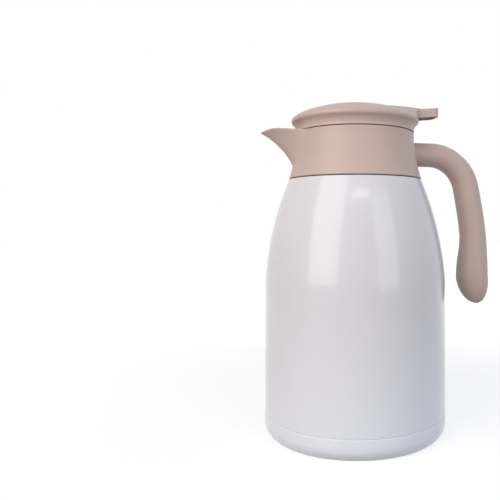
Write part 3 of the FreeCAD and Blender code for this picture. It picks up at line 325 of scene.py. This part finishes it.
def white_enamel_material():
    """Gloss white enamel with slight orange-peel under a clear coat; painted warm shade above, cool light
    below.
    """
    material, tree, shader, _ = new_material("white_enamel")
    noise = tree.nodes.new("ShaderNodeGroup")
    noise.node_tree = fine_noise
    noise.inputs["Coarse Scale"].default_value = 18.0
    noise.inputs["Fine Scale"].default_value = 420.0
    coordinates = tree.nodes.new("ShaderNodeTexCoord")
    split = tree.nodes.new("ShaderNodeSeparateXYZ")
    tree.links.new(coordinates.outputs["Object"], split.inputs["Vector"])
    # Painted shade and light: the colour runs from a paler, cooler white at the foot to a darker, warmer one
    # from 10 cm up.
    painted_shade_by_height = tree.nodes.new("ShaderNodeMapRange")
    painted_shade_by_height.inputs["From Min"].default_value = 0.0
    painted_shade_by_height.inputs["From Max"].default_value = 0.1
    tree.links.new(split.outputs["Z"], painted_shade_by_height.inputs["Value"])
    tint = tree.nodes.new("ShaderNodeMix")
    tint.data_type = "RGBA"
    tint.inputs[first_colour].default_value = (0.92, 0.93, 0.985, 1)
    tint.inputs[second_colour].default_value = (0.77, 0.735, 0.755, 1)
    tree.links.new(painted_shade_by_height.outputs["Result"], tint.inputs["Factor"])
    mottle = tree.nodes.new("ShaderNodeMix")
    mottle.data_type = "RGBA"
    mottle.blend_type = "MULTIPLY"
    mottle.inputs["Factor"].default_value = 0.04
    tree.links.new(tint.outputs[mixed_colour], mottle.inputs[first_colour])
    tree.links.new(noise.outputs["Coarse"], mottle.inputs[second_colour])
    tree.links.new(mottle.outputs[mixed_colour], shader.inputs["Base Color"])
    rough = tree.nodes.new("ShaderNodeMapRange")
    rough.inputs["To Min"].default_value = 0.16
    rough.inputs["To Max"].default_value = 0.24
    tree.links.new(noise.outputs["Coarse"], rough.inputs["Value"])
    tree.links.new(rough.outputs["Result"], shader.inputs["Roughness"])
    bump = tree.nodes.new("ShaderNodeBump")
    bump.inputs["Strength"].default_value = 0.05
    bump.inputs["Distance"].default_value = 0.0002
    tree.links.new(noise.outputs["Fine"], bump.inputs["Height"])
    tree.links.new(bump.outputs["Normal"], shader.inputs["Normal"])
    shader.inputs["Coat Weight"].default_value = 0.22
    shader.inputs["Coat Roughness"].default_value = 0.04
    shader.inputs["Specular IOR Level"].default_value = 0.42
    return material


white_enamel = white_enamel_material()
body_radius, wall_foot, wall_top, wall_rows = 66.5, 15.7, 110.0, 31
shoulder_start, shoulder_span = np.array([body_radius, 111.0]), np.array([-17.1, 73.6])
shoulder_bend, shoulder_half_chord, shoulder_rows = 235.0, 37.78, 49
shoulder_out = np.array([0.974, 0.2263])
shoulder_turn = np.linspace(0, 1, shoulder_rows)
shoulder_chord = shoulder_start + shoulder_turn[:, None] * shoulder_span
shoulder_rise = shoulder_bend - math.sqrt(shoulder_bend ** 2 - shoulder_half_chord ** 2)
shoulder_bulge = shoulder_rise * (1 - (2 * shoulder_turn - 1) ** 2)
shoulder = shoulder_chord + shoulder_bulge[:, None] * shoulder_out
wall = np.column_stack([np.full(wall_rows, body_radius), np.linspace(wall_foot, wall_top, wall_rows)])
outside_line = np.vstack([wall, shoulder[:-1]])
points_blurred = 5
blurred = outside_line[:, 0].copy()
blurred[2:-2] = (outside_line[:-4, 0] + outside_line[1:-3, 0] + outside_line[2:-2, 0]
                 + outside_line[3:-1, 0] + outside_line[4:, 0]) / points_blurred
blend_length = 12.0
near_start = np.exp(-((outside_line[:, 1] - shoulder_start[1]) / blend_length) ** 2)
outside_line[:, 0] += (blurred - outside_line[:, 0]) * near_start
edge_round = 0.35
neck_and_inside = rounded_outline([
    (49.4, 184.6), (46.7, 184.6), (40.1, 190.6), (40.1, 204.0), (39.5, 204.0), (39.5, 190.3),
    (46.4, 184.0), (48.8, 184.0), (65.9, 111.0), (65.9, 15.2), (body_radius, 15.2)], edge_round)
shell_outline = np.vstack([outside_line, neck_and_inside])
shell_grid = carried_round(shell_outline)
new_piece("painted_shell", shell_grid, grid_faces(*shell_grid.shape[:2], True, True), white_enamel,
          "jug", ["outer_shell"])

# Base cup. A moulded cup in the same white, plugged into the closing plate below a fine seam, with a
# rounded heel and a foot ring.
base_radius, seam_foot = 66.7, 14.8
heel_top, heel_span = np.array([base_radius, 9.0]), np.array([-4.9, -9.0])
heel_bend, heel_rows = 10.7, 17
heel_out = np.array([0.878, -0.478])
heel_share = np.linspace(0, 1, heel_rows)
heel_half_chord = math.hypot(*heel_span) / 2
heel_rise = heel_bend - math.sqrt(heel_bend ** 2 - heel_half_chord ** 2)
heel_bulge = heel_rise * (1 - (2 * heel_share - 1) ** 2)
heel = heel_top + heel_share[:, None] * heel_span + heel_bulge[:, None] * heel_out
corner_points, foot_round = 5, 0.4
seam_edge = rounded_outline([(65.0, seam_foot), (base_radius, seam_foot), (base_radius, 9.6)], edge_round)
foot_and_inside = rounded_outline([
    (61.6, 0.0), (57.5, 0.0), (55.0, 2.5), (0.02, 2.5), (0.02, 4.2), (57.4, 4.2), (63.4, 10.2),
    (63.4, 16.6), (65.0, 16.6), (65.0, seam_foot)], foot_round)
base_outline = np.vstack([seam_edge[corner_points:2 * corner_points], heel, foot_and_inside[:-corner_points]])
base_grid = carried_round(base_outline)
new_piece("foot_cup", base_grid, grid_faces(*base_grid.shape[:2], True, True), white_enamel,
          "jug", ["base_cup"])

# Collar and pouring lip. One beige polypropylene moulding with a satin, finely grained skin. It seats on
# the shell's ledge, and its front is drawn out into an open V with a rounded keel.


def beige_plastic_material(name, dark, light, rough_low, rough_high):
    """Satin moulded plastic: a slightly clouded colour, fine grain and a soft sheen."""
    material, tree, shader, _ = new_material(name)
    noise = tree.nodes.new("ShaderNodeGroup")
    noise.node_tree = fine_noise
    noise.inputs["Coarse Scale"].default_value = 35.0
    noise.inputs["Fine Scale"].default_value = 1900.0
    tint = tree.nodes.new("ShaderNodeMix")
    tint.data_type = "RGBA"
    tint.inputs[first_colour].default_value = (*dark, 1)
    tint.inputs[second_colour].default_value = (*light, 1)
    tree.links.new(noise.outputs["Coarse"], tint.inputs["Factor"])
    tree.links.new(tint.outputs[mixed_colour], shader.inputs["Base Color"])
    rough = tree.nodes.new("ShaderNodeMapRange")
    rough.inputs["To Min"].default_value = rough_low
    rough.inputs["To Max"].default_value = rough_high
    tree.links.new(noise.outputs["Fine"], rough.inputs["Value"])
    tree.links.new(rough.outputs["Result"], shader.inputs["Roughness"])
    bump = tree.nodes.new("ShaderNodeBump")
    bump.inputs["Strength"].default_value = 0.12
    bump.inputs["Distance"].default_value = 0.0001
    tree.links.new(noise.outputs["Fine"], bump.inputs["Height"])
    tree.links.new(bump.outputs["Normal"], shader.inputs["Normal"])
    return material


beige_plastic = beige_plastic_material("beige_plastic", dark=(0.575, 0.43, 0.365), light=(0.605, 0.455, 0.39),
                                       rough_low=0.42, rough_high=0.56)


def collar_reach(height):
    """The collar's outer radius: a hollow arc up to the straight band below the lid."""
    band_foot, bend, bend_reach, bend_height = 214.0, 115.0, 158.6, 220.6
    low = np.minimum(height, band_foot)
    return bend_reach - np.sqrt(bend ** 2 - (low - bend_height) ** 2)


def spout_reach(turn, height, inset):
    """The spout's distance from the axis in the way of a turn from its middle, at one height.

    The keel is a hollow arc in height, drawn out a little at the tip. At each height the flanks run from
    the keel to the collar with a slight hollow, and the nose between them is rounded by softening the
    turn near zero. Past the corner with the collar the reach falls off fast.
    """
    foot, rise = 194.0, 24.2
    painted_shade_by_height = np.clip((height - foot) / rise, 0, 1)
    keel_bend, keel_out, keel_height, tip_draw = 53.0, 94.24, 170.76, 1.0
    keel = keel_out - np.sqrt(keel_bend ** 2 - (height - keel_height) ** 2) + tip_draw * painted_shade_by_height ** 2 - inset
    nose_top, nose_more = 1.6, 8.4
    soft = (nose_top + nose_more * (1 - painted_shade_by_height) ** 2) / keel
    half_width, root = 20.5 - inset, 37.5
    corner = math.atan2(half_width, root)
    bent = np.minimum(np.abs(turn), corner)
    whole = (np.sqrt(math.sin(corner) ** 2 + soft ** 2) - soft) / math.sin(corner)
    side = (np.sqrt(np.sin(bent) ** 2 + soft ** 2) - soft) / whole
    flank = keel * half_width / (half_width * np.cos(bent) + (keel - root) * side)
    hollow, hollow_rise = 1.6, 10.0
    flank = flank - hollow * np.sin(math.pi * bent / corner) * np.clip((height - foot) / hollow_rise, 0, 1)
    farthest, fall_off = 1.2, 6
    return flank * np.cos(np.clip(np.abs(turn) - corner, 0, farthest)) ** fall_off


def soft_larger(one, other, blend):
    """The larger of two distances, rounded over where they cross."""
    return (one + other + np.sqrt((one - other) ** 2 + blend ** 2)) / 2


def lip_height(reach):
    """The height of the lip by its distance out: level on the collar, cresting, then down to the tip."""
    collar_edge, crest, tip = 43.8, 62.0, 70.6
    rise = np.clip((reach - collar_edge) / (crest - collar_edge), 0, 1)
    fall = np.clip((reach - crest) / (tip - crest), 0, 1)
    crest_rise, early, tip_fall = 1.5, 0.45, 2.3
    return collar_rim + crest_rise * rise * (1 + early - early * rise) - tip_fall * fall ** 2


collar_foot, collar_rim = 185.35, 219.1
collar_columns, even_share = 480, 0.35
turn_even = np.linspace(-1, 1, collar_columns + 1)[:-1]
turns = math.pi * (even_share * turn_even + (1 - even_share) * turn_even ** 3)


def collar_outer(height):
    """The outer skin at heights given per column: the collar or the spout, whichever reaches farther."""
    crease = 0.25
    return soft_larger(collar_reach(height), spout_reach(turns, height, 0.0), crease)


def collar_inner(height):
    """The bore, widened into the pouring channel above the neck ring's web."""
    bore_radius, taper_top, taper = 41.8, 207.5, 5.4 / 22.3
    bore = bore_radius + np.maximum(taper_top - height, 0) * taper
    wall, crease = 2.4, 0.8
    horn = spout_reach(turns, height, wall)
    web_top, opening = 207.6, 1.2
    share = np.clip((height - web_top) / opening, 0, 1)
    return bore + (soft_larger(bore, horn, crease) - bore) * share ** 2 * (3 - 2 * share)


rim = np.full(len(turns), collar_rim)
settle_rounds, front = 12, 1.2
for _ in range(settle_rounds):
    rim = lip_height(collar_outer(rim) * np.cos(np.clip(turns, -front, front)))
rim_round, outer_rows, rim_rows, inner_rows = 0.7, 81, 11, 41
closer_above, rim_full = 0.85, 0.7
shore = rim - rim_round
rows = []
for share in np.linspace(0, 1, outer_rows) ** closer_above:
    height = collar_foot + (shore - collar_foot) * share
    rows.append((collar_outer(height), height))
outer_edge, inner_edge = collar_outer(shore), collar_inner(shore)
for angle in np.linspace(0, math.pi, rim_rows)[1:-1]:
    rows.append(((outer_edge + inner_edge) / 2 + (outer_edge - inner_edge) / 2 * math.cos(angle),
                 shore + rim_round * math.sin(angle) ** rim_full))
for share in np.linspace(0, 1, inner_rows):
    height = shore + (collar_foot - shore) * share
    rows.append((collar_inner(height), height))
collar_r = np.stack([row[0] for row in rows], axis=1)
collar_z = np.stack([row[1] for row in rows], axis=1)
collar_grid = np.stack([-collar_r * np.cos(turns)[:, None], -collar_r * np.sin(turns)[:, None], collar_z],
                       axis=-1)
new_piece("collar_with_lip", collar_grid, grid_faces(*collar_grid.shape[:2], True, True), beige_plastic,
          "jug", ["collar"])

# Neck ring, stopper, valve guide and valve stem. Moulded in a slightly darker beige. The ring sits over
# the flask's lip, the stopper screws into it, and the guide is clamped in the stopper round the stem.
inner_plastic = beige_plastic_material("inner_plastic", dark=(0.5, 0.36, 0.3), light=(0.54, 0.4, 0.335),
                                       rough_low=0.4, rough_high=0.52)
dress(["neck_ring", "stopper", "valve_guide", "valve_stem"], inner_plastic)

# Seals. Moulded silicone rings in a milky white: one in the stopper's groove, one under the valve disc
# and a flat one between the flask's lip and the neck ring.
silicone, tree, shader, _ = new_material("silicone")
noise = tree.nodes.new("ShaderNodeGroup")
noise.node_tree = fine_noise
noise.inputs["Coarse Scale"].default_value = 60.0
noise.inputs["Fine Scale"].default_value = 1500.0
tint = tree.nodes.new("ShaderNodeMix")
tint.data_type = "RGBA"
tint.inputs[first_colour].default_value = (0.68, 0.67, 0.65, 1)
tint.inputs[second_colour].default_value = (0.76, 0.75, 0.73, 1)
tree.links.new(noise.outputs["Coarse"], tint.inputs["Factor"])
tree.links.new(tint.outputs[mixed_colour], shader.inputs["Base Color"])
rough = tree.nodes.new("ShaderNodeMapRange")
rough.inputs["To Min"].default_value = 0.4
rough.inputs["To Max"].default_value = 0.6
tree.links.new(noise.outputs["Fine"], rough.inputs["Value"])
tree.links.new(rough.outputs["Result"], shader.inputs["Roughness"])
dress(["neck_gasket", "stopper_seal", "valve_seal"], silicone)

# Screws, pins and the valve spring. The screws and pins are turned from plain steel and driven into the
# mouldings; the spring is coiled from bright drawn wire and sits round the stem.
dress(["handle_screws", "cover_screws", "lever_pin", "link_pin"],
      bare_metal("turned_steel", dark=(0.5, 0.5, 0.51), light=(0.66, 0.66, 0.67),
                 rough_low=0.25, rough_high=0.4, scale=2500.0))
dress(["valve_spring"],
      bare_metal("spring_wire", dark=(0.58, 0.58, 0.6), light=(0.74, 0.74, 0.75),
                 rough_low=0.18, rough_high=0.3, scale=3500.0))

# Handle. A beige moulding with the collar's skin, held only at its root by two screws from inside the
# collar. An oval is carried along a line that bends down and swells into a rounded end.


def handle_line():
    """Points, ways, thicknesses and widths along the handle, and its tip.

    Straight from the collar, a tight arc through most of a right angle, a wide arc through the rest to
    upright, and a straight fall to the swollen end, whose last half is an ellipsoid drawn out at its tip.
    From below the knee the line leans outwards by a smooth step, and the swelling lies to its inner side.
    """
    lean = math.radians(12.0)
    root_height, root_start, root_end, knee_start = 205.2, 44.0, 59.0, 59.5
    knee_bend, grip_bend, bulb_height = 30.5, 255.0, 111.5
    bend = np.linspace(0, math.pi / 2 - lean, knee_rows)
    places = [np.column_stack([np.linspace(root_start, root_end, root_rows),
                               np.full(root_rows, root_height)]),
              np.column_stack([knee_start + knee_bend * np.sin(bend),
                               root_height - knee_bend * (1 - np.cos(bend))])]
    knee = places[-1][-1]
    sweep = np.linspace(lean, 0, grip_rows)[1:]
    places.append(np.column_stack([knee[0] + grip_bend * (np.cos(sweep) - math.cos(lean)),
                                   knee[1] - grip_bend * (math.sin(lean) - np.sin(sweep))]))
    foot = places[-1][-1]
    drop = np.linspace(0, 1, fall_rows + 1)[1:]
    places.append(np.column_stack([np.full(fall_rows, foot[0]), foot[1] + (bulb_height - foot[1]) * drop]))
    ways = [np.tile([1.0, 0.0], (root_rows, 1)), np.column_stack([np.cos(bend), -np.sin(bend)]),
            np.column_stack([np.sin(sweep), -np.cos(sweep)])]
    end_lean = math.radians(8.0)
    out = end_lean * drop
    ways.append(np.column_stack([np.sin(out), -np.cos(out)]))
    bulb, way, end_length = places[-1][-1], ways[-1][-1], 21.5
    close = np.linspace(0, math.pi / 2, end_rows + 2)[1:-1]
    places.append(bulb + end_length * np.sin(close)[:, None] * way)
    ways.append(np.tile(way, (end_rows, 1)))
    place = np.vstack(places)
    direction = np.vstack(ways)
    turn_share = np.concatenate([np.zeros(root_rows), bend / bend[-1],
                                 np.ones(len(place) - root_rows - knee_rows)])
    swell_start, swell_length, lean_start, lean_length = 146.0, 34.5, 178.0, 44.0
    swell = (1 - np.cos(math.pi * np.clip((swell_start - place[:, 1]) / swell_length, 0, 1))) / 2
    swell[-end_rows:] = 1.0
    settle = np.clip((lean_start - place[:, 1]) / lean_length, 0, 1)
    lean_out, swell_in, tip_out = 1.1, 1.3, 1.9
    place[:, 0] += lean_out * settle ** 2 * (3 - 2 * settle) - swell_in * swell
    place[-end_rows:, 0] += tip_out * (1 - np.cos(close))
    taper = np.concatenate([np.ones(len(place) - end_rows), np.cos(close)])
    root_thick, knee_thick, grip_thick, swell_thick = 18.2, 1.4, 0.7, 4.4
    root_wide, knee_wide, swell_wide = 20.0, 1.0, 3.8
    thick = (root_thick + knee_thick * turn_share + grip_thick * settle + swell_thick * swell) * taper
    wide = (root_wide + knee_wide * turn_share + swell_wide * swell) * taper
    tip = bulb + end_length * way + np.array([lean_out - swell_in + tip_out, 0.0])
    return place, direction, thick, wide, tip


root_rows, knee_rows, grip_rows, fall_rows, end_rows = 10, 36, 40, 13, 20
place, direction, thick, wide, handle_tip = handle_line()
ring_points = 72
ring = np.arange(ring_points) * 2 * math.pi / ring_points
inward = np.column_stack([-direction[:, 1], direction[:, 0]])
grid = np.empty((len(place), ring_points, 3))
grid[..., 0] = place[:, None, 0] + inward[:, None, 0] * thick[:, None] / 2 * np.cos(ring)
grid[..., 1] = wide[:, None] / 2 * np.sin(ring)
grid[..., 2] = place[:, None, 1] + inward[:, None, 1] * thick[:, None] / 2 * np.cos(ring)
root = grid[:root_rows]
sunk, straight_end = 0.25, place[root_rows - 1, 0]
seat = np.sqrt((collar_reach(root[0, :, 2]) - sunk) ** 2 - root[0, :, 1] ** 2)
share = np.linspace(0, 1, root_rows)[:, None]
root[..., 0] = seat + (straight_end - seat) * share
faces = grid_faces(*grid.shape[:2], False, True)
tip_number = grid.shape[0] * ring_points
last = (grid.shape[0] - 1) * ring_points + np.arange(ring_points)
fan = np.column_stack([last, np.full(ring_points, tip_number), np.roll(last, -1)])
root_face = list(range(ring_points - 1, -1, -1))
points = np.vstack([grid.reshape(-1, 3), [[handle_tip[0], 0, handle_tip[1]]]])
new_piece("grip_handle", points, [*faces.tolist(), *fan.tolist(), root_face], beige_plastic,
          "jug", ["handle"])

# Lid cover and thumb lever. Moulded in the collar's beige. The cover is screwed to the stopper's flange,
# and the lever lies in the cover's slot and turns on its pin.
dress(["lid_cover", "thumb_lever"], beige_plastic)
